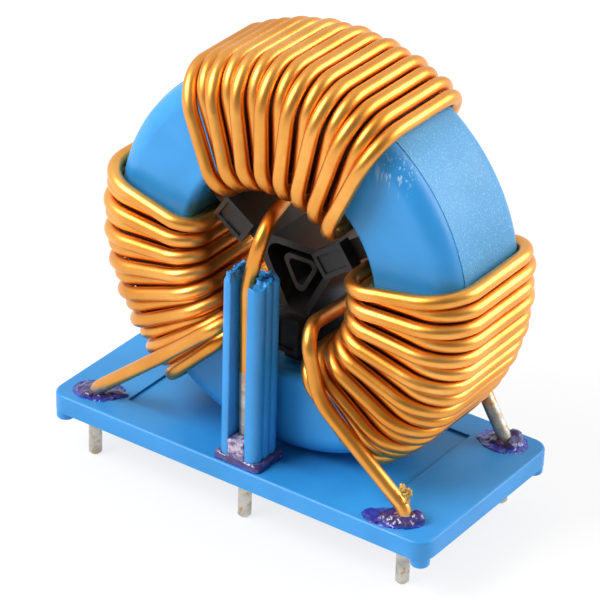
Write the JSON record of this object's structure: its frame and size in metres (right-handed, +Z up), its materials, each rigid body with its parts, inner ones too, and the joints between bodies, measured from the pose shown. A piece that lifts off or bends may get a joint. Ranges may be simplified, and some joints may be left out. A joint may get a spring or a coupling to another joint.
{
  "type": "common mode choke",
  "caption": "Upright toroidal common mode choke with separate copper windings on a flat plate with wire-end pins.",
  "frame": {"origin": "centre of the mounting plate, at the height of the pin tips", "axes": "+X along the plate's long side, +Y along the ring's axis towards the rear, +Z up; the front faces -Y"},
  "size_m": [0.0502, 0.0251, 0.0535],
  "materials": {
    "blue_plastic": "satin moulded",
    "blue_case": "satin moulded",
    "core": "dark metallic",
    "black_plastic": "satin moulded",
    "enamelled_wire": "glossy enamel",
    "adhesive": "glossy"
  },
  "bodies": {
    "root": {"base_plate": "blue_plastic", "case_cup": "blue_case", "case_lid": "blue_case", "core_ring": "core", "winding_spacer": "black_plastic", "winding_top": "enamelled_wire", "winding_right": "enamelled_wire", "winding_left": "enamelled_wire", "lead_guide_front": "blue_plastic", "lead_guide_rear": "blue_plastic", "glue_front_left": "adhesive", "glue_front_middle": "adhesive", "glue_front_right": "adhesive", "glue_rear_left": "adhesive", "glue_rear_middle": "adhesive", "glue_rear_right": "adhesive"}
  },
  "joints": []
}
